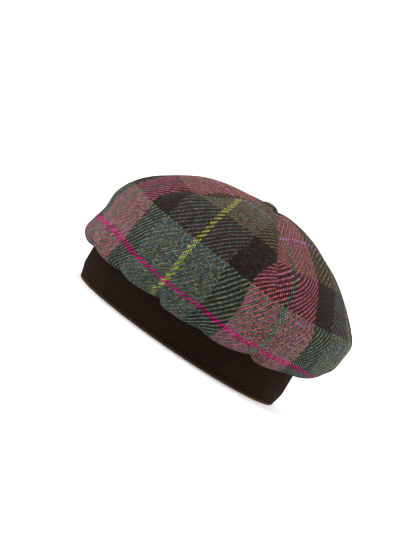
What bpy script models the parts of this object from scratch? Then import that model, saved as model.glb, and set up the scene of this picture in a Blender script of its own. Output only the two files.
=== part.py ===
"""Tweed beret: a checked tweed crown gathered onto a rib-knit band, with a covered button on top.

Metres, +Z up. The wearer looks along -Y. The origin is on the surface that the band stands on, under the
middle of the crown.
"""

import math

import bmesh
import bpy
import numpy as np

# Driving sizes
BAND_LENGTH = 0.2070
BAND_WIDTH = 0.1680
BAND_HEIGHT = 0.0363
BAND_WALL = 0.0030
BAND_EDGE_DRAW_IN = 0.0030
BAND_EDGE_HEIGHT = 0.0120
BAND_TOP_FORWARD = 0.0020
RIB_PITCH = 0.00275
RIB_DEPTH = 0.0007

CROWN_LENGTH = 0.2510
CROWN_WIDTH = 0.2300
CROWN_HEIGHT = 0.1056
CROWN_CLOTH = 0.0020
CROWN_BEHIND_BAND = 0.0049

BUTTON_BEHIND_BAND = 0.0026
BUTTON_WIDTH = 0.0170
BUTTON_HEIGHT = 0.0064
BUTTON_SEAT_WIDTH = 0.0180
BUTTON_SEAT_DIP = 0.0040

PETALS = 5
FIRST_SEAM_AZIMUTH = math.radians(-50)
SEAM_DEPTH = 0.0022
SEAM_REACH = 0.0060
PETAL_PUFF = 0.0016

TUCK_DEPTH = 0.0070
TUCK_BULGE = 0.0010

CLEARANCE = 0.0003

# How finely the round forms are cut
COLUMNS_IN_PETAL = 20
BUTTON_SIDES = 24

# The crown from the rim round the button to the seam at the band, one row a ring. The out columns are
# shares of the crown's reach forward, sideways and backward, and the up columns are shares of its height
# above the band. Seat is how far the ring has left the crown's outline for the band's.
CROWN_RINGS = (
    # front_out, side_out, back_out, front_up, side_up, back_up, seat
    (0.104, 0.133, 0.137, 0.982, 0.986, 0.990, 0.00),
    (0.202, 0.237, 0.228, 0.970, 0.974, 0.991, 0.00),
    (0.315, 0.355, 0.334, 0.946, 0.943, 0.964, 0.00),
    (0.424, 0.471, 0.437, 0.908, 0.899, 0.927, 0.00),
    (0.530, 0.583, 0.536, 0.855, 0.844, 0.874, 0.00),
    (0.632, 0.689, 0.634, 0.787, 0.777, 0.820, 0.00),
    (0.716, 0.779, 0.723, 0.716, 0.701, 0.752, 0.00),
    (0.794, 0.854, 0.790, 0.648, 0.622, 0.687, 0.00),
    (0.865, 0.917, 0.862, 0.572, 0.532, 0.612, 0.00),
    (0.920, 0.963, 0.930, 0.482, 0.429, 0.530, 0.00),
    (0.957, 0.991, 0.990, 0.367, 0.311, 0.430, 0.00),
    (0.960, 1.000, 0.990, 0.238, 0.180, 0.303, 0.00),
    (0.980, 0.978, 0.978, 0.118, 0.063, 0.187, 0.00),
    (1.016, 0.960, 0.968, 0.018, -0.032, 0.095, 0.15),
    (1.026, 0.965, 0.972, -0.049, -0.074, 0.040, 0.45),
    (1.000, 1.000, 1.000, -0.056, -0.064, 0.005, 0.78),
)

# How strongly each ring above shows the seams of the top, and the tucks of the hem
SEAM_SHARES = (0.7, 1, 1, 1, 1, 1, 1, 0.9, 0.7, 0.4, 0.15, 0, 0, 0, 0, 0)
TUCK_SHARES = (0, 0, 0, 0, 0, 0, 0, 0, 0, 0, 0.03, 0.15, 0.45, 0.85, 1, 0.6)

# The tucks and soft gathers round the hem
TUCKS = (
    # azimuth in degrees, share of the full depth, half width in degrees
    (-17, 1.00, 5),
    (5, 0.45, 5),
    (31, 1.00, 5),
    (56, 0.40, 6),
    (84, 0.60, 6),
    (112, 0.45, 5),
    (139, 0.80, 6),
    (163, 0.50, 5),
    (188, 0.90, 6),
    (214, 0.45, 6),
    (241, 0.75, 5),
    (267, 0.40, 6),
    (293, 0.60, 6),
    (320, 0.45, 5),
)

# The button's outline from its rim to its crest, as shares of half its width and of its height
BUTTON_OUTLINE = (
    # out, up
    (0.80, 0.00),
    (0.96, 0.14),
    (1.00, 0.34),
    (0.95, 0.56),
    (0.80, 0.77),
    (0.55, 0.92),
    (0.28, 0.985),
)

SEAM_HEIGHT = BAND_HEIGHT + CLEARANCE
BAND_MIDDLE_Y = -CROWN_BEHIND_BAND
BUTTON_Y = BAND_MIDDLE_Y + BUTTON_BEHIND_BAND
BUTTON_SEAT_HEIGHT = SEAM_HEIGHT + CROWN_HEIGHT - BUTTON_SEAT_DIP


def material(name, colour, roughness):
    """A plain Principled material."""
    made = bpy.data.materials.new(name)
    made.use_nodes = True
    shader = made.node_tree.nodes["Principled BSDF"]
    shader.inputs["Base Color"].default_value = (*colour, 1)
    shader.inputs["Roughness"].default_value = roughness
    shader.inputs["Metallic"].default_value = 0
    return made


def add_piece(name, mesh_maker, surface):
    """A named object whose bmesh is filled by mesh_maker, with outward normals and smooth shading."""
    work = bmesh.new()
    mesh_maker(work)
    bmesh.ops.recalc_face_normals(work, faces=work.faces)
    mesh = bpy.data.meshes.new(name)
    work.to_mesh(mesh)
    work.free()
    mesh.materials.append(surface)
    mesh.shade_smooth()
    mesh.set_sharp_from_angle(angle=math.radians(50))
    piece = bpy.data.objects.new(name, mesh)
    bpy.context.collection.objects.link(piece)
    return piece


def add_ring(work, points):
    """New vertices in a closed ring."""
    return [work.verts.new(point) for point in points]


def join_rings(work, first, second):
    """A strip of quads between two rings with as many vertices."""
    count = len(first)
    for i in range(count):
        j = (i + 1) % count
        work.faces.new((first[i], first[j], second[j], second[i]))


def close_ring(work, ring, centre):
    """A fan from a ring to its centre point."""
    middle = work.verts.new(centre)
    for i, vertex in enumerate(ring):
        work.faces.new((vertex, ring[(i + 1) % len(ring)], middle))


def oval_azimuths(length, width, count):
    """Azimuths that divide an oval's perimeter into equal steps."""
    fine = np.linspace(0, 2 * math.pi, 20 * count + 1)
    x = 0.5 * width * np.cos(fine)
    y = 0.5 * length * np.sin(fine)
    travelled = np.concatenate([[0], np.cumsum(np.hypot(np.diff(x), np.diff(y)))])
    wanted = np.linspace(0, travelled[-1], count, endpoint=False)
    return np.interp(wanted, travelled, fine), travelled[-1]


def band_ring(azimuths, inset, height):
    """Points of the band's oval at a height, moved in by inset. The band leans a little forward."""
    half_width = 0.5 * BAND_WIDTH - inset
    half_length = 0.5 * BAND_LENGTH - inset
    middle = BAND_MIDDLE_Y - BAND_TOP_FORWARD * height / BAND_HEIGHT
    return np.stack(
        [
            half_width * np.cos(azimuths),
            middle + half_length * np.sin(azimuths),
            np.full(len(azimuths), height),
        ],
        axis=1,
    )


def make_band(work):
    """The knit band: crests and valleys of upright ribs outside, a smooth wall inside."""
    perimeter = oval_azimuths(BAND_LENGTH, BAND_WIDTH, 8)[1]
    ribs = round(perimeter / RIB_PITCH)
    azimuths = oval_azimuths(BAND_LENGTH, BAND_WIDTH, 2 * ribs)[0]
    valleys = RIB_DEPTH * (np.arange(2 * ribs) % 2)
    inner_azimuths = azimuths[::2]

    edge_inset = valleys + BAND_EDGE_DRAW_IN
    outer = [
        add_ring(work, band_ring(azimuths, edge_inset, 0)),
        add_ring(work, band_ring(azimuths, valleys, BAND_EDGE_HEIGHT)),
        add_ring(work, band_ring(azimuths, valleys, BAND_HEIGHT)),
    ]
    inner = [
        add_ring(work, band_ring(inner_azimuths, BAND_EDGE_DRAW_IN + BAND_WALL, 0)),
        add_ring(work, band_ring(inner_azimuths, BAND_WALL, BAND_EDGE_HEIGHT)),
        add_ring(work, band_ring(inner_azimuths, BAND_WALL, BAND_HEIGHT)),
    ]
    for rings in (outer, inner):
        for lower, upper in zip(rings, rings[1:]):
            join_rings(work, lower, upper)
    for outside, inside in ((outer[0], inner[0]), (outer[-1], inner[-1])):
        for rib in range(ribs):
            crest = 2 * rib
            next_crest = (crest + 2) % (2 * ribs)
            next_rib = (rib + 1) % ribs
            corners = (outside[crest], outside[crest + 1], outside[next_crest])
            work.faces.new((*corners, inside[next_rib], inside[rib]))


def crown_grid(azimuths):
    """The crown's rings without seams or tucks, as an array of rings by azimuths by xyz."""
    rows = np.array(CROWN_RINGS)
    front_out, side_out, back_out, front_up, side_up, back_up, seat = rows.T[:, :, None]
    front_reach = 0.5 * CROWN_LENGTH - CROWN_BEHIND_BAND
    back_reach = 0.5 * CROWN_LENGTH + CROWN_BEHIND_BAND
    free_share = 1 - seat
    front = free_share * front_reach * front_out + seat * 0.5 * BAND_LENGTH
    back = free_share * back_reach * back_out + seat * 0.5 * BAND_LENGTH
    side = free_share * 0.5 * CROWN_WIDTH * side_out + seat * 0.5 * BAND_WIDTH

    x = side * np.cos(azimuths)
    y = BAND_MIDDLE_Y + 0.5 * (back - front) + 0.5 * (back + front) * np.sin(azimuths)
    forward = np.sin(azimuths) < 0
    along = np.sin(azimuths) ** 2
    up = (1 - along) * side_up + along * np.where(forward, front_up, back_up)
    return np.stack([x, y, SEAM_HEIGHT + CROWN_HEIGHT * up], axis=2)


def grid_normals(grid):
    """Outward unit normals of a grid of rings that runs down the outside of a dome."""
    around = np.roll(grid, -1, axis=1) - np.roll(grid, 1, axis=1)
    down = np.gradient(grid, axis=0)
    normals = np.cross(down, around)
    return normals / np.linalg.norm(normals, axis=2, keepdims=True)


def seam_relief(azimuths, grid):
    """Height of the petals: a valley at each seam, and a puff between the seams."""
    petal = 2 * math.pi / PETALS
    share = ((azimuths - FIRST_SEAM_AZIMUTH) / petal) % 1
    from_seam = np.minimum(share, 1 - share) * petal
    centre = grid.mean(axis=1, keepdims=True)
    radius = np.linalg.norm((grid - centre)[:, :, :2], axis=2)
    valley = SEAM_DEPTH * np.exp(-from_seam * radius / SEAM_REACH)
    puff = PETAL_PUFF * np.sin(math.pi * share)
    return np.array(SEAM_SHARES)[:, None] * (puff - valley)


def tuck_relief(azimuths):
    """Depth of the tucks that take the cloth in at the hem, with a soft bulge between them."""
    depth = np.zeros(len(azimuths))
    for degrees, share, half_width in TUCKS:
        turn = azimuths - math.radians(degrees)
        away = np.abs((turn + math.pi) % (2 * math.pi) - math.pi)
        fold = np.exp(-away / math.radians(half_width))
        depth = np.maximum(depth, share * TUCK_DEPTH * fold)
    return np.array(TUCK_SHARES)[:, None] * (TUCK_BULGE - depth)


def make_crown(work):
    """The outer face of the tweed, from the middle of the top to the edge on the band."""
    columns = PETALS * COLUMNS_IN_PETAL
    azimuths = FIRST_SEAM_AZIMUTH + 2 * math.pi * np.arange(columns) / columns
    grid = crown_grid(azimuths)
    relief = seam_relief(azimuths, grid) + tuck_relief(azimuths)
    grid += relief[:, :, None] * grid_normals(grid)

    seat_radius = 0.5 * BUTTON_SEAT_WIDTH
    seat_ring = np.stack(
        [
            seat_radius * np.cos(azimuths),
            BUTTON_Y + seat_radius * np.sin(azimuths),
            np.full(columns, BUTTON_SEAT_HEIGHT),
        ],
        axis=1,
    )
    rings = [add_ring(work, seat_ring)]
    rings += [add_ring(work, points) for points in grid]
    rings.append(add_ring(work, band_ring(azimuths, -CLEARANCE, SEAM_HEIGHT)))
    rings.append(add_ring(work, band_ring(azimuths, BAND_WALL, SEAM_HEIGHT)))
    close_ring(work, rings[0], (0, BUTTON_Y, BUTTON_SEAT_HEIGHT))
    for upper, lower in zip(rings, rings[1:]):
        join_rings(work, upper, lower)


def add_crown():
    """The crown, with the cloth's thickness inside its outer face."""
    crown = add_piece("crown", make_crown, material("tweed", (0.10, 0.07, 0.06), 0.95))
    cloth = crown.modifiers.new("cloth", "SOLIDIFY")
    cloth.thickness = CROWN_CLOTH
    cloth.offset = -1
    return crown


def make_button(work):
    """The covered button, a low dome on a flat underside."""
    base = BUTTON_SEAT_HEIGHT + CLEARANCE
    turns = 2 * math.pi * np.arange(BUTTON_SIDES) / BUTTON_SIDES
    rings = []
    for out, up in BUTTON_OUTLINE:
        radius = 0.5 * BUTTON_WIDTH * out
        height = base + BUTTON_HEIGHT * up
        x = radius * np.cos(turns)
        y = BUTTON_Y + radius * np.sin(turns)
        rings.append(add_ring(work, zip(x, y, np.full(BUTTON_SIDES, height))))
    for lower, upper in zip(rings, rings[1:]):
        join_rings(work, lower, upper)
    close_ring(work, rings[0], (0, BUTTON_Y, base))
    close_ring(work, rings[-1], (0, BUTTON_Y, base + BUTTON_HEIGHT))


for old in list(bpy.data.objects):
    bpy.data.objects.remove(old)

add_piece("band", make_band, material("rib_knit", (0.022, 0.011, 0.006), 0.95))
add_crown()
add_piece("button", make_button, material("button_tweed", (0.09, 0.06, 0.05), 0.95))
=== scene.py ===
# %% [markdown]
# Tweed beret, dressed for a photograph
#
# The solids of the beret are already modelled. This lesson gives each of them the cloth of the real hat:
# a full crown of checked tweed, a small button covered in the same tweed, and a rib-knit band.
# Everything is in metres with +Z up. The wearer looks along -Y, and +X is the side the camera sees.

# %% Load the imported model
import math

import bpy
import numpy as np
from mathutils import Matrix, Vector


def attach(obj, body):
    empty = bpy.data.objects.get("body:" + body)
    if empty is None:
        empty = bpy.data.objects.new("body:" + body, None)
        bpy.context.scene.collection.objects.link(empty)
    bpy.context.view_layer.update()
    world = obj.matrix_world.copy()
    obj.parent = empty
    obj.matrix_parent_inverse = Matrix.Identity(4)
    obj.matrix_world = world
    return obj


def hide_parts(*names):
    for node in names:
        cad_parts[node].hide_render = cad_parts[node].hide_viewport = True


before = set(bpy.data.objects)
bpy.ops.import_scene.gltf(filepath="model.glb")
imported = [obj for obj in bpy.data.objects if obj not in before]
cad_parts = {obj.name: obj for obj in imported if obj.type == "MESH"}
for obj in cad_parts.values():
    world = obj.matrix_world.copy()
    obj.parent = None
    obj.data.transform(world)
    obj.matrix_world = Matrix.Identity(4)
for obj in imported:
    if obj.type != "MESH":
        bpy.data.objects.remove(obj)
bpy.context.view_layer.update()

# %% [markdown]
# The camera
#
# The photograph was taken a little above the hat's rim with a long lens, and the camera was turned a third
# of the way towards its side, so the hat seems to lean. The hat here stands flat on its band, and the
# camera is rolled instead. A long lens far away keeps the outline free of strong perspective.

# %% Camera
CAMERA_ELEVATION = math.radians(7)
CAMERA_DISTANCE = 2.4
CAMERA_ROLL = math.radians(34.25)
CAMERA_LENS = 186.3
METRES_PER_PIXEL = 0.00087
AIM_TO_BACK = -21.5 * METRES_PER_PIXEL
AIM_UP = 74.1 * METRES_PER_PIXEL
BAND_CENTRE = Vector((0, -0.0049, 0))
SENSOR_WIDTH = 36
CAMERA_REACH = 50

towards_camera = Vector((math.cos(CAMERA_ELEVATION), 0, math.sin(CAMERA_ELEVATION)))
level_up = Vector((-math.sin(CAMERA_ELEVATION), 0, math.cos(CAMERA_ELEVATION)))
to_back = Vector((0, 1, 0))

camera_place = BAND_CENTRE + CAMERA_DISTANCE * towards_camera
aim = BAND_CENTRE + AIM_TO_BACK * to_back + AIM_UP * level_up
rolled_up = math.cos(CAMERA_ROLL) * level_up - math.sin(CAMERA_ROLL) * to_back

forward = (aim - camera_place).normalized()
right = forward.cross(rolled_up).normalized()
upward = right.cross(forward)
turn = Matrix((right, upward, -forward)).transposed()

camera_data = bpy.data.cameras.new("camera")
camera_data.lens = CAMERA_LENS
camera_data.sensor_width = SENSOR_WIDTH
camera_data.clip_end = CAMERA_REACH
camera = bpy.data.objects.new("camera", camera_data)
camera.matrix_world = Matrix.Translation(camera_place) @ turn.to_4x4()
bpy.context.collection.objects.link(camera)
bpy.context.scene.camera = camera
print("camera at", [round(value, 3) for value in camera_place])

# %% [markdown]
# Light and floor
#
# The picture has a white background and soft light from the sides and from above, and the part of the hat
# that faces the camera is a little darker. A white world that is dimmer on the camera's side and below it
# gives that, with a large lamp before the front of the hat and one behind its back. A broad pale disc is
# the floor. The Standard view transform keeps white as white, as a shop photograph does.

# %% World
BACKDROP_STRENGTH = 1.95
CAMERA_SIDE_STRENGTH = 0.16
# The direction in which the world is dimmest, and the cosines of the turn from it between which it dims
DIM_SIDE = towards_camera - 0.5 * level_up
DIM_STEP = (-0.1, 0.7)

scene = bpy.context.scene
scene.view_settings.view_transform = "Standard"

world = bpy.data.worlds.new("studio")
world.use_nodes = True
scene.world = world
backdrop = world.node_tree.nodes["Background"]
backdrop.inputs["Color"].default_value = (1, 1, 1, 1)
direction = world.node_tree.nodes.new("ShaderNodeTexCoord")
facing = world.node_tree.nodes.new("ShaderNodeVectorMath")
facing.operation = "DOT_PRODUCT"
facing.inputs[1].default_value = DIM_SIDE.normalized()
strength = world.node_tree.nodes.new("ShaderNodeMapRange")
strength.inputs["From Min"].default_value = DIM_STEP[0]
strength.inputs["From Max"].default_value = DIM_STEP[1]
strength.inputs["To Min"].default_value = BACKDROP_STRENGTH
strength.inputs["To Max"].default_value = CAMERA_SIDE_STRENGTH
world.node_tree.links.new(direction.outputs["Generated"], facing.inputs[0])
world.node_tree.links.new(facing.outputs["Value"], strength.inputs["Value"])
world.node_tree.links.new(strength.outputs["Result"], backdrop.inputs["Strength"])
print("the world goes from", BACKDROP_STRENGTH, "to", CAMERA_SIDE_STRENGTH)

# %% Lamps
KEY_POWER = 38
REAR_POWER = 23
LAMP_SIZE = 2.0
LAMP_DISTANCE = 2.2
LAMP_TARGET = Vector((0, 0, 0.07))
KEY_SIDE = 0.50 * towards_camera - 0.80 * to_back + 0.55 * level_up
REAR_SIDE = 0.25 * towards_camera + 0.80 * to_back + 0.65 * level_up


def add_lamp(name, side, power):
    """A large square lamp on one side of the hat, turned towards it."""
    lamp_data = bpy.data.lights.new(name, "AREA")
    lamp_data.energy = power
    lamp_data.size = LAMP_SIZE
    lamp = bpy.data.objects.new(name, lamp_data)
    place = LAMP_DISTANCE * side.normalized()
    lamp.location = place
    lamp.rotation_euler = (LAMP_TARGET - place).to_track_quat("-Z", "Y").to_euler()
    bpy.context.collection.objects.link(lamp)
    print(name, "lamp at", [round(value, 2) for value in place])


add_lamp("key", KEY_SIDE, KEY_POWER)
add_lamp("rear", REAR_SIDE, REAR_POWER)

# %% Floor
FLOOR_RADIUS = 12
FLOOR_CORNERS = 96

bpy.ops.object.select_all(action="DESELECT")
bpy.ops.mesh.primitive_circle_add(vertices=FLOOR_CORNERS, radius=FLOOR_RADIUS, fill_type="NGON")
floor = bpy.context.object
floor.name = "floor"
print("floor is", 2 * FLOOR_RADIUS, "m wide")

# %% [markdown]
# Shader arithmetic
#
# A woven check is mostly arithmetic: which thread is this, is it on top here, and what colour is it. Wiring
# dozens of Math nodes by hand is slow and hard to read, so a small class stands for one socket, and adds a
# Math node each time an expression uses it. A second class holds a material while it is made, with one
# method for every other kind of node.


# %% Sockets that take part in arithmetic
class Wire:
    """One output socket. Arithmetic on it adds Math nodes."""

    def __init__(self, finish, socket):
        self.finish = finish
        self.socket = socket

    def math(self, operation, other=0.0, reflected=False):
        pair = (other, self) if reflected else (self, other)
        values = {0: pair[0], 1: pair[1]}
        return self.finish.node("ShaderNodeMath", {"operation": operation}, values)

    def __add__(self, other):
        return self.math("ADD", other)

    def __sub__(self, other):
        return self.math("SUBTRACT", other)

    def __rsub__(self, other):
        return self.math("SUBTRACT", other, reflected=True)

    def __mul__(self, other):
        return self.math("MULTIPLY", other)

    def __truediv__(self, other):
        return self.math("DIVIDE", other)

    def __mod__(self, other):
        return self.math("FLOORED_MODULO", other)

    def __pow__(self, other):
        return self.math("POWER", other)

    def __lt__(self, other):
        return self.math("LESS_THAN", other)

    def floor(self):
        return self.math("FLOOR")

    __radd__ = __add__
    __rmul__ = __mul__


print("sockets can be added, subtracted, multiplied, divided, raised and compared")

# %% A material while it is made
WOOL_ROUGHNESS = 0.95
WOOL_SPECULAR = 0.06
WOOL_SHEEN = 0.02
WOOL_SHEEN_ROUGHNESS = 0.6


class Finish:
    """A material under construction, with a Principled shader already in place."""

    def __init__(self, name):
        self.material = bpy.data.materials.new(name)
        self.material.use_nodes = True
        self.tree = self.material.node_tree
        self.shader = self.tree.nodes["Principled BSDF"]

    def put(self, socket, value):
        """A link to a socket, or a value on it."""
        if isinstance(value, Wire):
            self.tree.links.new(value.socket, socket)
        else:
            socket.default_value = value

    def node(self, kind, settings=None, values=None, output=0):
        """Any node: its settings first, then the values or links of its sockets."""
        made = self.tree.nodes.new(kind)
        for key, value in (settings or {}).items():
            if key == "stops":
                self.set_stops(made.color_ramp, value)
            else:
                setattr(made, key, value)
        for key, value in (values or {}).items():
            self.put(made.inputs[key], value)
        return Wire(self, made.outputs[output])

    def set_stops(self, ramp, stops):
        """Constant steps of a colour ramp."""
        ramp.interpolation = "CONSTANT"
        ramp.elements[0].position = stops[0][0]
        ramp.elements[0].color = stops[0][1]
        ramp.elements.remove(ramp.elements[1])
        for position, colour in stops[1:]:
            ramp.elements.new(position).color = colour

    def random(self, seed, output):
        """White noise picked by a vector: its Value is one number and its Color is three."""
        return self.node("ShaderNodeTexWhiteNoise", {"noise_dimensions": "3D"}, {"Vector": seed}, output)

    def blend(self, first, second, factor):
        """A colour between two colours. A Mix node has its colours at inputs 6 and 7 and output 2."""
        settings = {"data_type": "RGBA"}
        return self.node("ShaderNodeMix", settings, {0: factor, 6: first, 7: second}, output=2)

    def split(self, vector, part):
        """One number of a vector or colour."""
        return self.node("ShaderNodeSeparateXYZ", None, {0: vector}, output=part)

    def join(self, x, y, z=0.0):
        """A vector from three numbers."""
        return self.node("ShaderNodeCombineXYZ", None, {0: x, 1: y, 2: z})

    def wool(self, colour, height, depth):
        """The finished wool: its colour, its relief and how deep that is in metres."""
        relief = {"Height": height, "Distance": depth, "Strength": 1.0}
        bump = self.node("ShaderNodeBump", None, relief)
        self.put(self.shader.inputs["Base Color"], colour)
        self.put(self.shader.inputs["Normal"], bump)
        self.shader.inputs["Roughness"].default_value = WOOL_ROUGHNESS
        self.shader.inputs["Specular IOR Level"].default_value = WOOL_SPECULAR
        self.shader.inputs["Sheen Weight"].default_value = WOOL_SHEEN
        self.shader.inputs["Sheen Roughness"].default_value = WOOL_SHEEN_ROUGHNESS
        return self.material


print("wool has roughness", WOOL_ROUGHNESS, "and sheen", WOOL_SHEEN)

# %% Colours, and the floor's paint
FLOOR_ROUGHNESS = 0.9


def paint(red, green, blue):
    """A colour as seen on a screen, 0 to 255, as the linear colour that Blender works in."""
    parts = []
    for part in (red, green, blue):
        share = part / 255
        parts.append(share / 12.92 if share <= 0.04045 else ((share + 0.055) / 1.055) ** 2.4)
    return (*parts, 1.0)


floor_finish = Finish("floor_white")
floor_finish.shader.inputs["Base Color"].default_value = (1, 1, 1, 1)
floor_finish.shader.inputs["Roughness"].default_value = FLOOR_ROUGHNESS
floor.data.materials.append(floor_finish.material)
print("the floor is painted white")

# %% [markdown]
# The tweed
#
# The cloth is a two-and-two twill: each thread passes over two and under two, one step further on in each
# row, which draws the diagonal. The check comes from the order of the coloured threads. Threads that run up
# the hat (the warp) go teal, dark, pink, dark, with a yellow line in the teal and a green line in the pink.
# Threads that run round it (the weft) go brown, plum, blue-grey, plum, with a lilac line in the brown and a
# magenta line in the blue-grey. Painting squares would miss how the colours mix, so the shader finds the
# two threads at each point, picks a colour for each from its place in the order, and shows the one on top.
# Here are the orders, as counts of threads, and the yarns.

# %% Order and colours of the threads
WARP_PITCH = 0.0012375
WEFT_PITCH = 0.00150

# Yarn colours in three tones: the main one, a fleck, and a lighter fleck
TONES = 3
YARNS = {
    "teal": (paint(65, 93, 87), paint(128, 105, 61), paint(99, 128, 133)),
    "yellow": (paint(200, 206, 75), paint(177, 188, 75), paint(212, 212, 129)),
    "dark": (paint(22, 30, 18), paint(50, 51, 27), paint(58, 67, 41)),
    "pink": (paint(214, 87, 118), paint(203, 124, 101), paint(175, 121, 166)),
    "green": (paint(101, 137, 118), paint(89, 118, 101), paint(149, 166, 144)),
    "brown": (paint(125, 92, 56), paint(162, 115, 73), paint(95, 119, 99)),
    "lilac": (paint(188, 137, 212), paint(170, 124, 191), paint(206, 173, 226)),
    "plum": (paint(58, 18, 27), paint(78, 38, 36), paint(65, 47, 50)),
    "grey": (paint(90, 120, 123), paint(138, 124, 89), paint(147, 158, 137)),
    "magenta": (paint(246, 7, 147), paint(226, 10, 129), paint(248, 48, 173)),
}
WARP_ORDER = (
    ("dark", 22),
    ("teal", 27),
    ("yellow", 4),
    ("teal", 27),
    ("dark", 22),
    ("pink", 27),
    ("green", 3),
    ("pink", 28),
)
WEFT_ORDER = (
    ("brown", 26),
    ("lilac", 3),
    ("brown", 26),
    ("plum", 27),
    ("grey", 27),
    ("magenta", 4),
    ("grey", 26),
    ("plum", 27),
)


def count_threads(order):
    """How many threads one repeat of the order has."""
    return sum(count for _, count in order)


def stops_for(order, tone):
    """Ramp stops for one tone of every yarn in an order of threads."""
    total = count_threads(order)
    stops = []
    passed = 0
    for yarn, count in order:
        stops.append((passed / total, YARNS[yarn][tone]))
        passed += count
    return stops


print("warp repeat", count_threads(WARP_ORDER), "threads, weft repeat", count_threads(WEFT_ORDER))

# %% [markdown]
# Weaving it
#
# In this twill a thread floats over two others and dives under the next two. Each float is a small bead of
# wool, painted bright along its back and painted with shade in the gaps beside it, and no two are spun
# equally thick. The wool was dyed before it was spun, so small tufts of other tones show all over each
# thread. The
# shader works all of it out from the map: the shape of the bead and its painted shade, how bright each
# crossing is, and the tone of each tuft. A thin nap lets a little of the lower thread's colour through.

# %% Tweed material
FLOAT_LENGTH = 2
TWILL_REPEAT = 2 * FLOAT_LENGTH
WEAVE_RELIEF = 0.00035
# The width of a tuft in metres, and how many tufts take the fleck and the lighter fleck
TUFT_SIZE = 0.0009
FLECK_SHARE = 0.40
LIGHT_SHARE = 0.25
# How bright the painted shade in the gaps between threads is, and how much of its height a float keeps at
# its ends
PAINTED_GAP_SHADE = 0.06
FLOAT_ENDS = 0.30
# How sharply the painted shade darkens a bead away from its back
PAINTED_SHADE_SHARPNESS = 2.4
# The brightness of the thinnest crossing, and what the thickest has more
SPUN_SHADE = 0.30
SPUN_RANGE = 0.85
# How much of the lower thread shows through
NAP = 0.06


def yarn_colour(finish, order, thread, chance):
    """The colour of a thread, with the heather flecks that two random numbers pick."""
    total = count_threads(order)
    place = ((thread % total) + 0.5) / total
    tones = []
    for tone in range(TONES):
        tones.append(finish.node("ShaderNodeValToRGB", {"stops": stops_for(order, tone)}, {0: place}))
    flecked = finish.blend(tones[0], tones[1], finish.split(chance, 0) < FLECK_SHARE)
    return finish.blend(flecked, tones[2], finish.split(chance, 1) < LIGHT_SHARE)


def rounded(share):
    """A round hump from 0 over 1 back to 0 as share goes from 0 to 1."""
    return share * (1 - share) * 4


def make_tweed():
    """The checked twill, read from the cloth's own map in metres."""
    finish = Finish("tweed")
    cloth = finish.node("ShaderNodeUVMap", {"uv_map": "cloth"})
    across = finish.split(cloth, 0) / WARP_PITCH
    down = finish.split(cloth, 1) / WEFT_PITCH
    warp_thread = across.floor()
    weft_thread = down.floor()

    warp_run = (down + warp_thread) % TWILL_REPEAT
    weft_run = (across + weft_thread) % TWILL_REPEAT
    warp_up = warp_run < FLOAT_LENGTH
    warp_back = rounded(warp_run / FLOAT_LENGTH) * (1 - FLOAT_ENDS) + FLOAT_ENDS
    weft_back = rounded(weft_run / FLOAT_LENGTH - 1) * (1 - FLOAT_ENDS) + FLOAT_ENDS
    warp_bead = rounded(across % 1) * warp_back
    weft_bead = rounded(down % 1) * weft_back
    weave = warp_bead * warp_up + weft_bead * (1 - warp_up)

    thickness = finish.random(finish.join(warp_thread, weft_thread), "Value")
    tuft_across = (finish.split(cloth, 0) / TUFT_SIZE).floor()
    tuft_down = (finish.split(cloth, 1) / TUFT_SIZE).floor()
    chance = finish.random(finish.join(tuft_across, tuft_down, warp_up), "Color")
    warp_colour = yarn_colour(finish, WARP_ORDER, warp_thread, chance)
    weft_colour = yarn_colour(finish, WEFT_ORDER, weft_thread, chance)
    top = finish.blend(weft_colour, warp_colour, warp_up * (1 - 2 * NAP) + NAP)
    spun = thickness * SPUN_RANGE + SPUN_SHADE
    # Painted shade: each bead is painted bright along its back and dark in the gaps between threads, then
    # takes the random brightness of its crossing
    painted_shade_and_tone = (weave ** PAINTED_SHADE_SHARPNESS * (1 - PAINTED_GAP_SHADE) + PAINTED_GAP_SHADE) * spun
    colour = finish.node("ShaderNodeVectorMath", {"operation": "SCALE"}, {0: top, "Scale": painted_shade_and_tone})
    return finish.wool(colour, weave, WEAVE_RELIEF)


tweed = make_tweed()
print("tweed has", len(tweed.node_tree.nodes), "nodes")

# %% [markdown]
# The crown's shape
#
# A beret's crown is one full bag of cloth. Here it is one strip: darts close it at the top into five petals
# that meet under the button, and its lower edge is gathered onto the band. A cloth simulation could puff it
# out, but would lose the outline that the photograph gives, so the bag is laid out as rings, round the
# button first and round the band last. Each ring is known at the front, the side and the back, and smooth
# curves run through the rings. The solids of the model use the same numbers.

# %% Sizes of the hat
MM = 0.001
BAND_LENGTH = 0.2070
BAND_WIDTH = 0.1680
BAND_HEIGHT = 0.0363
BAND_WALL = 0.0030
BAND_EDGE_DRAW_IN = 0.0030
BAND_EDGE_HEIGHT = 0.0120
BAND_TOP_FORWARD = 0.0020
CROWN_LENGTH = 0.2510
CROWN_WIDTH = 0.2300
CROWN_HEIGHT = 0.1056
CROWN_CLOTH = 0.0018
CROWN_BEHIND_BAND = 0.0049
BUTTON_BEHIND_BAND = 0.0026
BUTTON_SEAT_WIDTH = 0.0180
BUTTON_SEAT_DIP = 0.0040
CLEARANCE = 0.0003

SEAM_HEIGHT = BAND_HEIGHT + CLEARANCE
BAND_MIDDLE_Y = -CROWN_BEHIND_BAND
BUTTON_Y = BAND_MIDDLE_Y + BUTTON_BEHIND_BAND
BUTTON_SEAT_HEIGHT = SEAM_HEIGHT + CROWN_HEIGHT - BUTTON_SEAT_DIP
print("the crown joins the band at", SEAM_HEIGHT, "m and the button sits at", BUTTON_SEAT_HEIGHT, "m")

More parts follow.
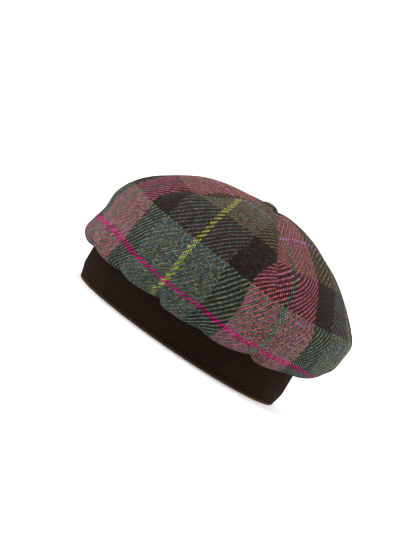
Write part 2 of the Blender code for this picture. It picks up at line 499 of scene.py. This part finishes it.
# %% Rings of the crown
# Rings from the rim round the button to the seam at the band. The out columns are shares of the reach
# forward, sideways and backward, the up columns are shares of the height above the band, and seat is how
# far the ring has left the crown's outline for the band's.
CROWN_RINGS = (
    # front_out, side_out, back_out, front_up, side_up, back_up, seat
    (0.104, 0.133, 0.137, 0.982, 0.986, 0.990, 0.00),
    (0.202, 0.237, 0.228, 0.970, 0.974, 0.991, 0.00),
    (0.315, 0.355, 0.334, 0.946, 0.943, 0.964, 0.00),
    (0.424, 0.471, 0.437, 0.908, 0.899, 0.927, 0.00),
    (0.530, 0.583, 0.536, 0.855, 0.844, 0.874, 0.00),
    (0.632, 0.689, 0.634, 0.787, 0.777, 0.820, 0.00),
    (0.716, 0.779, 0.723, 0.716, 0.701, 0.752, 0.00),
    (0.794, 0.854, 0.790, 0.648, 0.622, 0.687, 0.00),
    (0.865, 0.917, 0.862, 0.572, 0.532, 0.612, 0.00),
    (0.920, 0.963, 0.930, 0.482, 0.429, 0.530, 0.00),
    (0.957, 0.991, 0.990, 0.367, 0.311, 0.430, 0.00),
    (0.960, 1.000, 0.990, 0.238, 0.180, 0.303, 0.00),
    (0.980, 0.978, 0.978, 0.118, 0.063, 0.187, 0.00),
    (1.016, 0.960, 0.968, 0.018, -0.032, 0.095, 0.15),
    (1.026, 0.965, 0.972, -0.049, -0.074, 0.040, 0.45),
    (1.000, 1.000, 1.000, -0.056, -0.064, 0.005, 0.78),
)
# Two rows of guide points come before these rings, the middle and the rim of the button's seat
FIRST_RING_ROW = 2
print(len(CROWN_RINGS), "rings give the crown its outline")


# %% Guide points round the hat
def band_ring(azimuths, inset, height):
    """Points of the band's oval at a height, moved in by inset. The band leans a little forward."""
    half_width = 0.5 * BAND_WIDTH - inset
    half_length = 0.5 * BAND_LENGTH - inset
    middle = BAND_MIDDLE_Y - BAND_TOP_FORWARD * height / BAND_HEIGHT
    x = half_width * np.cos(azimuths)
    y = middle + half_length * np.sin(azimuths)
    return np.stack([x, y, np.full(len(azimuths), height)], axis=1)


def seat_ring(azimuths, radius):
    """Points round the button's seat."""
    x = radius * np.cos(azimuths)
    y = BUTTON_Y + radius * np.sin(azimuths)
    return np.stack([x, y, np.full(len(azimuths), BUTTON_SEAT_HEIGHT)], axis=1)


def crown_guides(azimuths):
    """All guide rings of the crown, as an array of rings by azimuths by xyz."""
    rows = np.array(CROWN_RINGS)
    front_out, side_out, back_out, front_up, side_up, back_up, seat = rows.T[:, :, None]
    free = 1 - seat
    front = free * (0.5 * CROWN_LENGTH - CROWN_BEHIND_BAND) * front_out + seat * 0.5 * BAND_LENGTH
    back = free * (0.5 * CROWN_LENGTH + CROWN_BEHIND_BAND) * back_out + seat * 0.5 * BAND_LENGTH
    side = free * 0.5 * CROWN_WIDTH * side_out + seat * 0.5 * BAND_WIDTH
    x = side * np.cos(azimuths)
    y = BAND_MIDDLE_Y + 0.5 * (back - front) + 0.5 * (back + front) * np.sin(azimuths)
    along = np.sin(azimuths) ** 2
    up = (1 - along) * side_up + along * np.where(np.sin(azimuths) < 0, front_up, back_up)
    body = np.stack([x, y, SEAM_HEIGHT + CROWN_HEIGHT * up], axis=2)
    top = [seat_ring(azimuths, 0), seat_ring(azimuths, 0.5 * BUTTON_SEAT_WIDTH)]
    hem = [band_ring(azimuths, -CLEARANCE, SEAM_HEIGHT), band_ring(azimuths, BAND_WALL, SEAM_HEIGHT)]
    return np.concatenate([np.array(top), body, np.array(hem)])


print("guide rings of", len(crown_guides(np.zeros(1))), "rows in all")


# %% Smooth curves
def smooth_rows(points, places):
    """Points on smooth curves through the rows of an array, at fractional row numbers."""
    last = len(points) - 1
    row = np.clip(places.astype(int), 0, last - 1)
    share = (places - row).reshape(-1, *[1] * (points.ndim - 1))
    before = points[np.maximum(row - 1, 0)]
    here = points[row]
    there = points[row + 1]
    after = points[np.minimum(row + 2, last)]
    line = 2 * here + (there - before) * share
    bend = (2 * before - 5 * here + 4 * there - after) * share**2
    twist = (3 * here - before - 3 * there + after) * share**3
    return 0.5 * (line + bend + twist)


squares = np.array([0, 1, 4, 9])
print("the curve through", squares, "has", smooth_rows(squares, np.array([1.5])), "half way from 1 to 4")

# %% [markdown]
# Rows and columns of cloth
#
# The guide rings are few and far apart, so smooth curves run through them from the button to the band. The
# cloth gets evenly spaced rows along those curves, and columns round the hat, with a whole number of
# columns to each petal. A dart is never sewn quite straight: the two seams on the camera's side wander by
# up to ten degrees in the photograph, so the columns near them wander too.

# %% Rows and columns of the crown
PETALS = 5
FIRST_SEAM = math.radians(-50)
COLUMNS_IN_PETAL = 92
CROWN_COLUMNS = PETALS * COLUMNS_IN_PETAL
CROWN_ROWS = 104
FINE_STEPS = 20

crown_azimuths = FIRST_SEAM + 2 * math.pi * np.arange(CROWN_COLUMNS) / CROWN_COLUMNS
guides = crown_guides(crown_azimuths)
fine_places = np.linspace(0, len(guides) - 1, FINE_STEPS * (len(guides) - 1) + 1)
fine_points = smooth_rows(guides, fine_places)
fine_steps = np.linalg.norm(np.diff(fine_points, axis=0), axis=2).mean(axis=1)
fine_run = np.concatenate([[0], np.cumsum(fine_steps)])
row_runs = np.linspace(0, fine_run[-1], CROWN_ROWS + 1)
row_places = np.interp(row_runs, fine_run, fine_places)
ring_points = smooth_rows(guides, row_places)
print("from the button to the band the cloth runs", round(fine_run[-1] / MM), "mm")


# %% Seams that wander
def turn_between(degrees, other):
    """The turn from one azimuth to another in degrees, the short way round."""
    return (degrees - other + 180) % 360 - 180


# How far each seam wanders from its even place, in degrees, by the run from the button in millimetres
SEAM_WANDER = {
    0: ((0, 0), (30, 8), (60, 10), (71, 6), (79, 2), (88, -4), (100, -7), (120, -5), (150, 0)),
    1: ((0, 0), (45, -3), (92, -2), (116, 1), (150, 0)),
}
spread = 360 / PETALS
column_turns = np.zeros((CROWN_ROWS + 1, CROWN_COLUMNS))
column_degrees = np.degrees(crown_azimuths)
for seam, wander in SEAM_WANDER.items():
    away = turn_between(column_degrees, np.degrees(FIRST_SEAM) + seam * spread)
    near = np.clip(1 - np.abs(away) / spread, 0, 1)
    column_turns += np.interp(row_runs / MM, *np.transpose(wander))[:, None] * near
turned_azimuths = crown_azimuths + np.radians(column_turns)

crown_points = np.empty_like(ring_points)
for row in range(CROWN_ROWS + 1):
    for axis in range(3):
        ring = ring_points[row, :, axis]
        turned_ring = np.interp(turned_azimuths[row], crown_azimuths, ring, period=2 * math.pi)
        crown_points[row, :, axis] = turned_ring
print("the seams wander by up to", round(np.abs(column_turns).max(), 1), "degrees")

# %% [markdown]
# Petals, gathers and soft dents
#
# The darts pull narrow valleys into the top, and the petals puff up between them. At the hem the cloth is
# taken in by tucks. Two of them are full folds whose rear lip lies over the front one, and the others are
# softer. Wool cloth also never lies quite even, so a few long, shallow waves go over the whole bag, and
# single places that stand out or sink in on the real hat do so here. All of it is laid out in code and
# moves the points along their normals, because the outline of the photograph has to stay.

# %% Relief of the crown
SEAM_DEPTH = 0.0022
SEAM_REACH = 0.0060
PETAL_PUFF = 0.0016
TUCK_DEPTH = 0.0070
TUCK_BULGE = 0.0010
# The tucks lean as they rise: degrees for each metre, the run where that starts, and how far up it goes on
TUCK_LEAN = 640
TUCK_FOOT = 0.181
TUCK_RISE = 0.03

# Long shallow waves: a share of the height, then two waves with their radians for each metre along x, y and
# z and their start
DENT_HEIGHT = 0.0006
DENT_WAVES = (
    (1.0, (52, 0, 31, 0.4), (0, 47, -38, 1.1)),
    (0.6, (0, 95, 60, 2.0), (83, 0, -71, 0.7)),
)

# Soft puffs and dents in single places: azimuth in degrees, run from the button in millimetres, height in
# millimetres, and half widths in degrees and in millimetres
PUFFS = (
    (8, 20, 1.8, 22, 11),
    (15, 62, 1.2, 8, 30),
    (-48, 96, 1.6, 9, 16),
    (6, 158, -2.4, 22, 9),
    (21, 154, -2.2, 7, 8),
)

# How much of each relief the rings have, from the button's seat to the hem
SEAM_SHARES = (0.7, 1, 1, 1, 1, 1, 1, 0.9, 0.7, 0.4, 0.15, 0, 0, 0, 0, 0)
TUCK_SHARES = (0, 0, 0, 0, 0, 0, 0, 0, 0, 0, 0.04, 0.22, 0.66, 0.98, 1, 0.6)
DENT_SHARES = (0.2, 0.5, 1, 1, 1, 1, 1, 1, 1, 1, 1, 1, 1, 1, 0.5, 0.2)
TUCKS = (
    # azimuth in degrees, share of the full depth, width on the front and on the rear side in degrees
    (-16, 1.00, 7, 1.0),
    (5, 0.45, 5, 5),
    (32, 1.00, 7, 1.0),
    (56, 0.40, 6, 6),
    (84, 0.60, 7, 4),
    (112, 0.45, 5, 5),
    (139, 0.80, 7, 4),
    (163, 0.50, 5, 5),
    (188, 0.90, 7, 4),
    (214, 0.45, 6, 6),
    (241, 0.75, 4, 7),
    (267, 0.40, 6, 6),
    (293, 0.60, 4, 7),
    (320, 0.45, 5, 5),
)


def shares_by_row(shares):
    """A share for every row of the crown, from the shares of its rings. The seat and the hem have none."""
    known = np.zeros(len(guides))
    known[FIRST_RING_ROW : FIRST_RING_ROW + len(shares)] = shares
    return np.interp(row_places, np.arange(len(known)), known)[:, None]


print("tucks reach", np.count_nonzero(shares_by_row(TUCK_SHARES)), "of", CROWN_ROWS + 1, "rows")


# %% Seams and tucks
def seam_relief():
    """A valley at each seam and a puff between the seams."""
    petal = 2 * math.pi / PETALS
    share = ((crown_azimuths - FIRST_SEAM) / petal) % 1
    from_seam = np.minimum(share, 1 - share) * petal
    centre = crown_points.mean(axis=1, keepdims=True)
    radius = np.linalg.norm((crown_points - centre)[:, :, :2], axis=2)
    valley = SEAM_DEPTH * np.exp(-from_seam * radius / SEAM_REACH)
    puff = PETAL_PUFF * np.sin(math.pi * share)
    return shares_by_row(SEAM_SHARES) * (puff - valley)


def tuck_relief():
    """The tucks of the hem, which lean a little as they rise, and the soft bulge between them."""
    depth = np.zeros(crown_points.shape[:2])
    lean = TUCK_LEAN * np.clip(TUCK_FOOT - row_runs[:, None], 0, TUCK_RISE)
    for degrees, share, front_width, rear_width in TUCKS:
        away = turn_between(np.degrees(turned_azimuths) + lean, degrees)
        width = np.where(away < 0, front_width, rear_width)
        depth = np.maximum(depth, share * TUCK_DEPTH * np.exp(-np.abs(away) / width))
    return shares_by_row(TUCK_SHARES) * (TUCK_BULGE - depth)


folds = seam_relief() + tuck_relief()
print("seams and tucks go from", round(folds.min() / MM, 1), "to", round(folds.max() / MM, 1), "mm")


# %% Dents and puffs
def wave(along_x, along_y, along_z, start):
    """A wave through space, at the points of the crown."""
    x, y, z = np.moveaxis(crown_points, 2, 0)
    return np.sin(along_x * x + along_y * y + along_z * z + start)


def dent_relief():
    """Long shallow waves over the free part of the bag."""
    waves = sum(share * wave(*first) * wave(*second) for share, first, second in DENT_WAVES)
    return DENT_HEIGHT * shares_by_row(DENT_SHARES) * waves


def puff_relief():
    """The soft puffs and dents of single places."""
    relief = np.zeros(turned_azimuths.shape)
    for degrees, run, height, half_turn, half_run in PUFFS:
        away = turn_between(np.degrees(turned_azimuths), degrees)
        down = row_runs[:, None] / MM - run
        relief += MM * height * np.exp(-((away / half_turn) ** 2) - (down / half_run) ** 2)
    return relief


crown_relief = folds + dent_relief() + puff_relief()
print("relief from", round(crown_relief.min() / MM, 1), "to", round(crown_relief.max() / MM, 1), "mm")

# %% Moving the cloth along its normals
SHORTEST_NORMAL = 1e-9


def surface_normals(points):
    """Outward unit normals of rows that run down the outside of a dome."""
    around = np.roll(points, -1, axis=1) - np.roll(points, 1, axis=1)
    down = np.gradient(points, axis=0)
    normals = np.cross(down, around)
    lengths = np.linalg.norm(normals, axis=2, keepdims=True)
    return normals / np.maximum(lengths, SHORTEST_NORMAL)


crown_points = crown_points + crown_relief[:, :, None] * surface_normals(crown_points)
print("the crown has", crown_points.shape[0], "rows of", crown_points.shape[1], "points")

# %% [markdown]
# Where each thread lies
#
# A check looks right only if the cloth lies as it was cut. Below the darts the strip goes round the hat, so
# the distance across the warp grows with the azimuth. In each petal the threads stay parallel to the
# petal's own grain line, and stop at the darts. The map that the tweed reads is therefore worked out petal
# by petal, in metres of flat cloth.
#
# Cloth that is worn is never quite true. A petal has some cloth to ease in along its seam, the gathers at
# the front turn it back, and in a few places the threads bow. Each of these moves the lines of the check by
# a few millimetres, as in the photograph.

# %% Measures of the map
# The radius round which the tops of the petals bend, and the share of it that they reach at most
MEAN_RADIUS = 0.119
MOST_BENT = 0.99
# Where the order of the warp starts
MAP_OFFSET = 0.69900
# The map is cut at the seam behind this many petals, and the others are counted the other way round
PETALS_BEFORE_CUT = 2
# Runs from the button, in metres, where the darts end, and between which two effects of the top fade
DARTS_END = 0.140
STRAIGHT_FADE = (0.060, 0.090)
SAG_FADE = (0.060, 0.120)
# The most that a petal turns from the azimuth it is square to, in degrees
MOST_TURN = 30
# How far the front's gathers turn the cloth back, in degrees, where down the cloth they start, and between
# which degrees in front of the side
FRONT_GATHER = 7
FRONT_GATHER_FADE = (0.150, 0.178)
FRONT_GATHER_PLACE = (50, 70)
# Extra cloth that each petal has along its first seam, how far it reaches, and where it starts and ends
EASE = 0.014
EASE_REACH = 0.009
EASE_START = (0.050, 0.078)
EASE_FADE = (0.084, 0.102)
# Where the threads bow: the petal's number, or None for all, the middle and half width across the warp,
# the middle and half length down the cloth, and the shifts across and down, all in millimetres
BOWS = (
    (1, 68, 19, 108, 20, -7, 0),
    (1, 95, 15, 62, 45, 5.5, 0),
    (1, 93, 13, 98, 24, 3.0, 0),
    (1, 88, 30, 174, 14, 0, 2.6),
    (0, -109, 21, 114, 18, 4.6, 0),
    (0, -42, 22, 95, 50, -2.4, 0),
    (None, -118, 40, 168, 20, 0, 3),
)
print("the threads bow in", len(BOWS), "places")

# %% Tables of the map
# Azimuth in degrees and distance across the warp in millimetres, below the darts
AROUND = (
    (-266, -557),
    (-230, -482),
    (-194, -407),
    (-158, -333),
    (-122, -256),
    (-100, -213),
    (-73.5, -177),
    (-65, -144),
    (-47.5, -105),
    (-38.5, -78),
    (-20, -42),
    (-2.6, -6),
    (10, 21),
    (27.7, 57),
    (45, 93),
    (56.5, 120),
    (77, 156),
    (94, 191),
)
# How much lower than at the front the weft lies, by azimuth in degrees, in millimetres
SAG = (
    (-266, 18),
    (-200, 12),
    (-60, 0),
    (-9, 0.5),
    (0, 1.5),
    (12, 4),
    (22, 7),
    (46, 12),
    (65, 15),
    (80, 19),
    (94, 20),
)
# Grain of each petal: its azimuth in degrees, the distance across the warp there in millimetres, the run in
# metres where the cloth starts to leave the grain and go round the hat, how straight the weft runs over the
# petal's top, the azimuth it is square to, and its sag there in millimetres
GRAINS = (
    (-9, -24.5, 0.095, 0, -9, 0.5),
    (45, 80, 0.095, 1, 50, 13.8),
    (-230, -482, 0.095, 1, -230, 14),
    (-158, -333, 0.095, 1, -158, 8),
    (-50, -110, 0.040, 1, -40, 4),
)
print("the strip is mapped over", AROUND[-1][1] - AROUND[0][1], "mm")


# %% Map of the cloth
def fade(value, limits):
    """A smooth step from 0 to 1 between two limits."""
    share = np.clip((value - limits[0]) / (limits[1] - limits[0]), 0, 1)
    return share * share * (3 - 2 * share)


def across_warp(points, degrees, run, azimuth, at_grain, darts_start):
    """Distance across the warp, by the grain between the darts and by the azimuth below them."""
    grain = math.radians(azimuth)
    off_grain = (points[:, :, 1] - BAND_MIDDLE_Y) * math.cos(grain) - points[:, :, 0] * math.sin(grain)
    bent = MEAN_RADIUS * np.arcsin(np.clip(off_grain / MEAN_RADIUS, -MOST_BENT, MOST_BENT))
    from_seam = np.radians(degrees - degrees[:, :1]) * run
    eased = fade(run, EASE_START) * (1 - fade(run, EASE_FADE)) * np.exp(-from_seam / EASE_REACH)
    in_petal = MM * at_grain + bent - EASE * eased
    gathered = fade(run, FRONT_GATHER_FADE) * fade(-degrees, FRONT_GATHER_PLACE)
    around = MM * np.interp(degrees + FRONT_GATHER * gathered, *np.transpose(AROUND))
    below = fade(run, (darts_start, DARTS_END))
    return (1 - below) * in_petal + below * around


def bow(petal, across, run):
    """The distance across the warp with the bows in it, and how far they move the weft down."""
    shifted_down = 0
    for bowed, centre_across, half_across, centre_run, half_run, shift_across, shift_down in BOWS:
        if bowed in (petal, None):
            away = ((across / MM - centre_across) / half_across) ** 2
            away = away + ((run / MM - centre_run) / half_run) ** 2
            across = across + MM * shift_across * np.exp(-away)
            shifted_down = shifted_down + MM * shift_down * np.exp(-away)
    return across, shifted_down


def down_weft(degrees, run, straight, square_to, top_sag):
    """Distance down the cloth, less the sag. Over a petal's top the weft may run straight across."""
    level = straight * (1 - fade(run, STRAIGHT_FADE))
    turned = np.cos(np.radians(np.clip(degrees - square_to, -MOST_TURN, MOST_TURN)))
    lower = fade(run, SAG_FADE)
    sag = (1 - lower) * top_sag + lower * np.interp(degrees, *np.transpose(SAG))
    return run * (1 - level + level * turned) - MM * sag


def petal_map(petal):
    """Distance across the warp and down the cloth for one petal's rows and columns."""
    columns = np.arange(petal * COLUMNS_IN_PETAL, (petal + 1) * COLUMNS_IN_PETAL + 1)
    points = crown_points[:, columns % CROWN_COLUMNS]
    degrees = np.degrees(FIRST_SEAM) + 360 * columns / CROWN_COLUMNS
    degrees = degrees + column_turns[:, columns % CROWN_COLUMNS]
    if petal >= PETALS_BEFORE_CUT:
        degrees = degrees - 360
    run = np.repeat(row_runs[:, None], len(columns), axis=1)
    across = across_warp(points, degrees, run, *GRAINS[petal][:3])
    across, shifted_down = bow(petal, across, run)
    down = down_weft(degrees, run, *GRAINS[petal][3:]) + shifted_down
    return np.stack([across + MAP_OFFSET, down], axis=2)


print("petal 0 is mapped from", petal_map(0).min(axis=(0, 1)), "to", petal_map(0).max(axis=(0, 1)))


# %% A mesh from a grid
def quad_corners(grid):
    """The four corners of every quad of a grid, in the order of its faces."""
    corners = (grid[:-1, :-1], grid[1:, :-1], grid[1:, 1:], grid[:-1, 1:])
    return np.stack(corners, axis=2)


def make_piece(name, points, faces, map_name, places):
    """A mesh object with one map, which has a place for every corner of every face."""
    mesh = bpy.data.meshes.new(name)
    mesh.from_pydata(points.reshape(-1, 3).tolist(), [], faces)
    laid = mesh.uv_layers.new(name=map_name)
    laid.data.foreach_set("uv", np.array(places, dtype=np.float32).ravel())
    piece = bpy.data.objects.new(name, mesh)
    bpy.context.collection.objects.link(piece)
    return piece


def clean(piece):
    """Select a piece alone, drop its loose points and point its faces outwards."""
    bpy.ops.object.select_all(action="DESELECT")
    piece.select_set(True)
    bpy.context.view_layer.objects.active = piece
    bpy.ops.object.mode_set(mode="EDIT")
    bpy.ops.mesh.select_all(action="SELECT")
    bpy.ops.mesh.delete_loose()
    bpy.ops.mesh.select_all(action="SELECT")
    bpy.ops.mesh.normals_make_consistent(inside=False)
    bpy.ops.object.mode_set(mode="OBJECT")


def count_triangles(piece):
    """How many triangles a piece has."""
    return sum(len(face.vertices) - 2 for face in piece.data.polygons)


print("a grid of 3 by 4 points has quads of shape", quad_corners(np.zeros((3, 4))).shape)

# %% [markdown]
# The bag of cloth
#
# The crown's points are now a grid of rows and columns. Its first row falls together in one point under the
# button, so the faces there are triangles. The map differs on the two sides of a dart, as it does in cut
# cloth, so every corner of every face gets its own place on it. The faces are one thin sheet at first, and
# a Solidify modifier gives the sheet the thickness of the cloth, inwards.


# %% Crown mesh
def make_crown():
    """The bag of cloth: a grid of quads, its top closed in one point, with the map of the cloth."""
    index = np.arange((CROWN_ROWS + 1) * CROWN_COLUMNS).reshape(CROWN_ROWS + 1, CROWN_COLUMNS)
    index = np.concatenate([index, index[:, :1]], axis=1)
    index[0] = 0
    faces = []
    places = []
    for petal in range(PETALS):
        first = petal * COLUMNS_IN_PETAL
        corners = quad_corners(index[:, first : first + COLUMNS_IN_PETAL + 1]).reshape(-1, 4)
        spots = quad_corners(petal_map(petal)).reshape(-1, 4, 2)
        for number, (corner, spot) in enumerate(zip(corners, spots)):
            # In the first row of faces the last corner is the top point once more
            kept = 3 if number < COLUMNS_IN_PETAL else 4
            faces.append(corner[:kept].tolist())
            places.extend(spot[:kept])
    return make_piece("crown_cloth", crown_points, faces, "cloth", places)


crown = make_crown()
clean(crown)
cloth = crown.modifiers.new("cloth", "SOLIDIFY")
cloth.thickness = CROWN_CLOTH
cloth.offset = -1
bpy.ops.object.modifier_apply(modifier=cloth.name)
bpy.ops.object.shade_smooth()
crown.data.materials.append(tweed)
print("crown has", count_triangles(crown), "triangles")

# %% [markdown]
# The covered button
#
# A covered button is a small metal dome with the cloth stretched over it and turned under. A squashed
# sphere is close, so a sphere is added at its place and squashed in edit mode, and then its underside is
# pushed flat. The cloth on it is the same tweed, so the button gets a flat piece of the same map.

# %% Button
BUTTON_WIDTH = 0.0170
BUTTON_HEIGHT = 0.0064
# The height of the squashed sphere and of its middle, in heights of the button
BUTTON_SPHERE = 1.30
BUTTON_MIDDLE = 0.35
BUTTON_SEGMENTS = 64
BUTTON_RINGS = 32
# The spot of the cloth's map that lies on the button's middle
BUTTON_MAP = (0.690, 0.030)


def make_button():
    """A low dome with a flat underside and its own cut of the cloth."""
    base = BUTTON_SEAT_HEIGHT + CLEARANCE
    middle = (0, BUTTON_Y, base + BUTTON_MIDDLE * BUTTON_HEIGHT)
    fineness = {"segments": BUTTON_SEGMENTS, "ring_count": BUTTON_RINGS}
    bpy.ops.object.select_all(action="DESELECT")
    bpy.ops.mesh.primitive_uv_sphere_add(**fineness, radius=0.5 * BUTTON_WIDTH, location=middle)
    piece = bpy.context.object
    piece.name = "button_cloth"
    bpy.ops.object.mode_set(mode="EDIT")
    squash = BUTTON_SPHERE * BUTTON_HEIGHT / BUTTON_WIDTH
    bpy.ops.transform.resize(value=(1, 1, squash), center_override=middle)
    bpy.ops.object.mode_set(mode="OBJECT")
    bpy.ops.object.transform_apply(location=True, rotation=True, scale=True)
    bpy.ops.object.shade_smooth()
    for vertex in piece.data.vertices:
        if vertex.co.z < base:
            vertex.co.z = base
    return piece


def map_flat(piece, offset):
    """A cloth map straight down onto a piece."""
    for layer in list(piece.data.uv_layers):
        piece.data.uv_layers.remove(layer)
    cloth_map = piece.data.uv_layers.new(name="cloth")
    for loop in piece.data.loops:
        place = piece.data.vertices[loop.vertex_index].co
        cloth_map.data[loop.index].uv = (place.y - BUTTON_Y + offset[0], offset[1] - place.x)


button = make_button()
map_flat(button, BUTTON_MAP)
button.data.materials.append(tweed)
heights = [vertex.co.z for vertex in button.data.vertices]
print("button is", round((max(heights) - min(heights)) / MM, 1), "mm high")

# %% [markdown]
# The rib-knit band
#
# The band is a dark brown rib knit, pulled to the size of a head. Each rib is a column of small V-shaped
# stitches that stands out from the valleys beside it, and the free edge is cast off, which gives it a row
# of small scallops. The ribs are modelled, because they show in the outline, and the stitches are relief
# and painted light.
# At the back the band stretches the most, so the ribs are broader there.

# %% Ribs of the band
RIBS = 200
POINTS_IN_RIB = 6
RIB_DEPTH = 0.0010
# The power that narrows the valleys
VALLEY_POWER = 1.5
# The azimuth of the middle of the back in degrees, how much broader the ribs are there, as a share, and how
# many degrees round that reaches
BACK = 90
BACK_STRETCH = 1.0
BACK_STRETCH_REACH = 30


def oval_azimuths(count):
    """Azimuths that divide the band's oval into steps, which are longer at the back."""
    fine = np.linspace(0, 2 * math.pi, FINE_STEPS * count + 1)
    steps = np.hypot(np.diff(0.5 * BAND_WIDTH * np.cos(fine)), np.diff(0.5 * BAND_LENGTH * np.sin(fine)))
    from_back = turn_between(np.degrees(fine[1:]), BACK)
    steps /= 1 + BACK_STRETCH * np.exp(-((from_back / BACK_STRETCH_REACH) ** 2))
    travelled = np.concatenate([[0], np.cumsum(steps)])
    return np.interp(np.linspace(0, travelled[-1], count, endpoint=False), travelled, fine)


rib_turns = np.degrees(np.diff(oval_azimuths(RIBS)))
print("ribs are", round(rib_turns.min(), 2), "to", round(rib_turns.max(), 2), "degrees wide")

# %% Band mesh
# How far up the fade of the drawn-in edge reaches, in heights of that edge
EDGE_FADE = 1.2
# The scallops' height in metres, and how far up they reach in millimetres
SCALLOP_HEIGHT = 0.0009
SCALLOP_REACH = 1.2
# Height up the band and inset from its outer face, over its round lower edge, in millimetres, then the
# heights of the other rows of points, up the outer face and down the inner one
BAND_EDGE = ((0.0, 1.5), (0.15, 0.75), (0.5, 0.25), (1.1, 0.0))
OUTER_ROWS = (3.0, 6.0, 9.0, 12.0, 15.0, 19.0, 23.0, 27.0, 31.0, 34.5, 36.3)
INNER_ROWS = (36.3, 24.0, 12.0, 6.0, 0.6)


def draw_in(height):
    """How far the band is drawn in near its free edge."""
    return BAND_EDGE_DRAW_IN * (1 - fade(height, (0, EDGE_FADE * BAND_EDGE_HEIGHT)))


def band_points():
    """Rows of points up the outer face and down the inner face."""
    azimuths = oval_azimuths(RIBS * POINTS_IN_RIB)
    turn = 2 * math.pi * np.arange(RIBS * POINTS_IN_RIB) / POINTS_IN_RIB
    valley = (0.5 - 0.5 * np.cos(turn)) ** VALLEY_POWER
    rows = []
    for height, inset in (*BAND_EDGE, *[(height, 0) for height in OUTER_ROWS]):
        inset = draw_in(MM * height) + MM * inset + RIB_DEPTH * valley
        ring = band_ring(azimuths, inset, MM * height)
        ring[:, 2] += SCALLOP_HEIGHT * valley * max(0, 1 - height / SCALLOP_REACH)
        rows.append(ring)
    for height in INNER_ROWS:
        rows.append(band_ring(azimuths, draw_in(MM * height) + BAND_WALL, MM * height))
    return np.array(rows)


def make_band():
    """A closed ring of knit, with a map of rib number and height."""
    points = band_points()
    rows, columns = points.shape[:2]
    index = np.arange(rows * columns).reshape(rows, columns)
    index = np.concatenate([index, index[:, :1]], axis=1)
    index = np.concatenate([index, index[:1]])
    steps = np.linalg.norm(np.diff(points, axis=0), axis=2).mean(axis=1)
    height = np.concatenate([[0], np.cumsum(steps), [steps.sum() + BAND_WALL]])
    rib = np.arange(columns + 1) / POINTS_IN_RIB
    places = np.stack(np.meshgrid(rib, height), axis=2)
    faces = quad_corners(index).reshape(-1, 4).tolist()
    return make_piece("band_knit", points, faces, "knit", quad_corners(places))


band = make_band()
clean(band)
bpy.ops.object.shade_smooth()
print("band has", count_triangles(band), "triangles")

# %% [markdown]
# The knit's finish
#
# Wool yarn in a knit is never one colour. The crests of the ribs are painted lighter and the valleys get a
# nearly black painted shade, each stitch is a small V with painted light on its hump, and the free edge has
# painted light, a warmer brown that lifts it out of the floor's shadow. The map counts ribs across and
# metres of height, so the shader can tell where in a rib and where in a stitch a point is.

# %% Rib knit material
STITCH_HEIGHT = 0.0019
# How far a stitch's sides rise to the valleys, in stitches
STITCH_SLANT = 0.8
# What the rib's crest and the hump of the stitch add to the lightness as painted light, and what chance and
# fuzz add as the yarn's tone
PAINTED_CREST_LIGHT = 0.45
PAINTED_LOOP_LIGHT = 0.25
CHANCE_LIGHT = 0.15
FUZZ_LIGHT = 0.15
# What stitches and fuzz add to the relief, and its depth in metres
LOOP_RELIEF = 0.7
FUZZ_RELIEF = 0.3
KNIT_RELIEF = 0.00040
FUZZ = {"Scale": 1400.0, "Detail": 3.0, "Roughness": 0.6}
# The brown goes from the nearly black painted shade of the valleys to the painted light of the crests, and
# the yarn's random tone moves it too
KNIT_DARK = paint(6, 4, 3)
KNIT_LIGHT = paint(45, 28, 19)
# The lighter, warmer brown of the painted light on the free edge
KNIT_EDGE_LIT_BROWN = paint(118, 86, 60)
# How strong the painted light on the free edge is, how far up that reaches in metres, and the most that it
# shows
EDGE_LIGHT_AT_BOTTOM = 1.15
EDGE_LIGHT_REACH = 0.0030
MOST_EDGE_LIGHT = 0.85


def make_rib_knit():
    """Dark brown rib knit, read from the map of rib number and height."""
    finish = Finish("rib_knit")
    knit = finish.node("ShaderNodeUVMap", {"uv_map": "knit"})
    rib = finish.split(knit, 0)
    height = finish.split(knit, 1)
    in_rib = (rib + 0.5) % 1 - 0.5
    from_crest = in_rib.math("ABSOLUTE") * 2
    stitch = height / STITCH_HEIGHT + from_crest * STITCH_SLANT
    loop = rounded(stitch % 1)
    crest = 1 - from_crest

    noise = finish.random(finish.join(rib.math("ROUND"), stitch.floor()), "Value")
    place = finish.node("ShaderNodeTexCoord", output="Object")
    fuzz = finish.node("ShaderNodeTexNoise", {"noise_dimensions": "3D"}, {"Vector": place, **FUZZ})
    # Painted light on the crests of the ribs and the humps of the stitches, with the yarn's random tone
    # from chance and fuzz
    painted_light_and_tone = crest * PAINTED_CREST_LIGHT + loop * PAINTED_LOOP_LIGHT + noise * CHANCE_LIGHT + fuzz * FUZZ_LIGHT
    brown = finish.blend(KNIT_DARK, KNIT_LIGHT, painted_light_and_tone)
    # Painted light along the free edge, lifting it out of the floor's shadow
    painted_edge_light = (EDGE_LIGHT_AT_BOTTOM - height / EDGE_LIGHT_REACH).math("MAXIMUM", 0.0).math("MINIMUM", MOST_EDGE_LIGHT)
    colour = finish.blend(brown, KNIT_EDGE_LIT_BROWN, painted_edge_light)
    relief = loop * crest * LOOP_RELIEF + fuzz * FUZZ_RELIEF
    return finish.wool(colour, relief, KNIT_RELIEF)


band.data.materials.append(make_rib_knit())
print("band finish is on")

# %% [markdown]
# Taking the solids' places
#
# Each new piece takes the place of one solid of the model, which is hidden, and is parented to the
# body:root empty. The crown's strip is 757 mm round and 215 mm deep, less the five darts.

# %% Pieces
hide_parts("crown")
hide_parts("button")
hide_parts("band")
for piece, slot in ((crown, "tweed"), (button, "tweed"), (band, "rib_knit")):
    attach(piece, "root")
